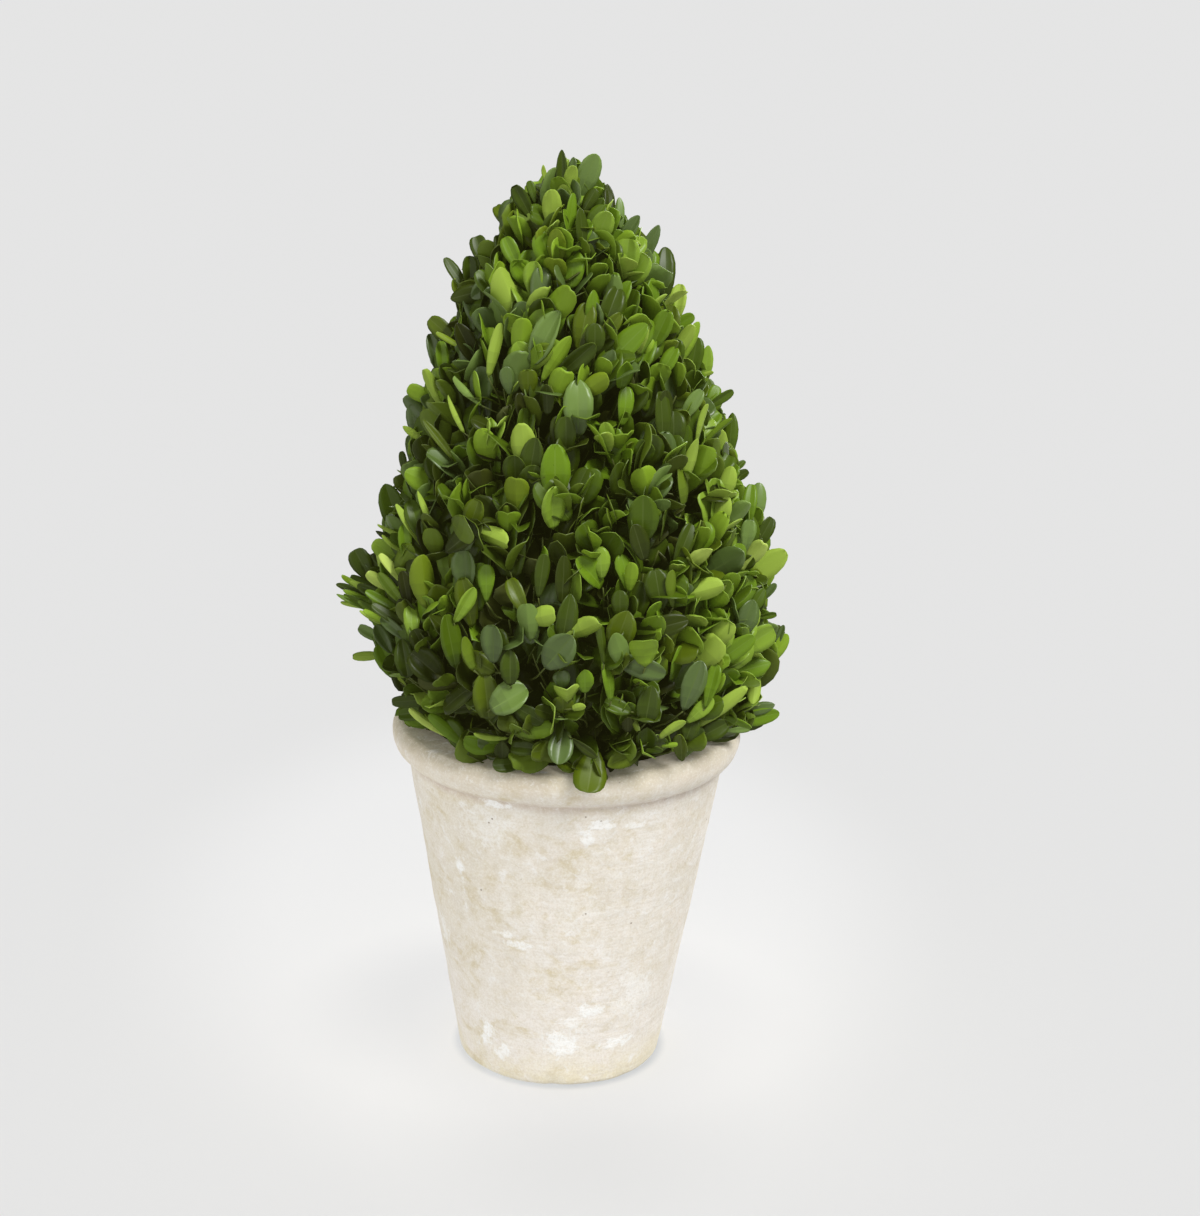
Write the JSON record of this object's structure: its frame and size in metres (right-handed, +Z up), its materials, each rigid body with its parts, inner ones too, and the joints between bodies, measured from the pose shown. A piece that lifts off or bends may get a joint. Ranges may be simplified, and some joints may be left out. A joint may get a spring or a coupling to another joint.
{
  "type": "boxwood cone topiary in a pot",
  "caption": "Clipped cone of small glossy boxwood leaves on a hidden stem, standing in a tapered limewashed terracotta pot with a thick rolled rim.",
  "frame": {"origin": "centre of the pot's flat underside", "axes": "+Z up along the pot's axis; -Y is the front, the side that faces the viewer; +X is the viewer's right"},
  "size_m": [0.1951, 0.1861, 0.4062],
  "materials": {
    "limewashed_terracotta": "matte",
    "packed_fill": "matte",
    "bark": "matte",
    "boxwood_leaf": "satin"
  },
  "bodies": {
    "root": {"pot": "limewashed_terracotta", "potting_fill": "packed_fill", "stem": "bark", "foliage_skirt": "boxwood_leaf", "foliage_lower": "boxwood_leaf", "foliage_middle": "boxwood_leaf", "foliage_upper": "boxwood_leaf", "foliage_tip": "boxwood_leaf"}
  },
  "joints": []
}
